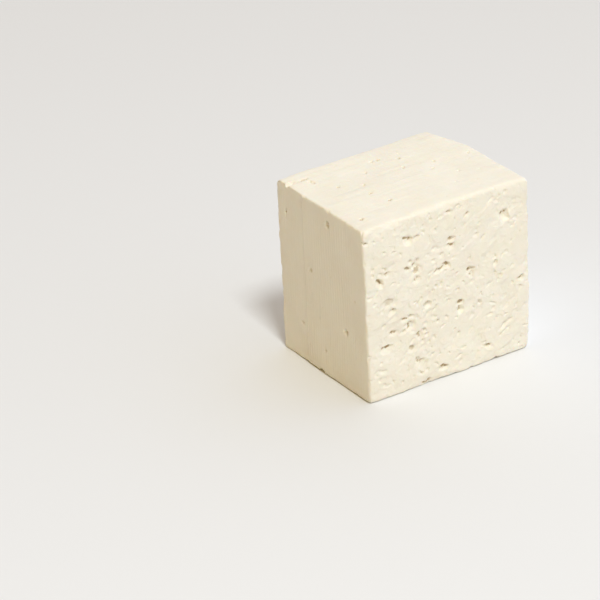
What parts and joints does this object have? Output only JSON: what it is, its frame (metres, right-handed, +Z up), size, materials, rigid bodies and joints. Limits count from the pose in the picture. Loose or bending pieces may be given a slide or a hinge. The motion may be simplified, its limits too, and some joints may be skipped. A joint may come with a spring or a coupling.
{
  "type": "paneer block",
  "caption": "Thick block of fresh pressed paneer cheese with a knife-cut side, a smooth top skin and an open, pitted front face, standing on its flat base.",
  "frame": {"origin": "middle of the flat base, at the level it rests on", "axes": "+X along the pitted front face to the right, +Y from the front face to the back, +Z up"},
  "size_m": [0.105, 0.082, 0.1012],
  "materials": {
    "paneer": "soft off-white fresh cheese with a faint moist sheen and open curd texture"
  },
  "bodies": {
    "root": {"paneer_block": "paneer"}
  },
  "joints": []
}
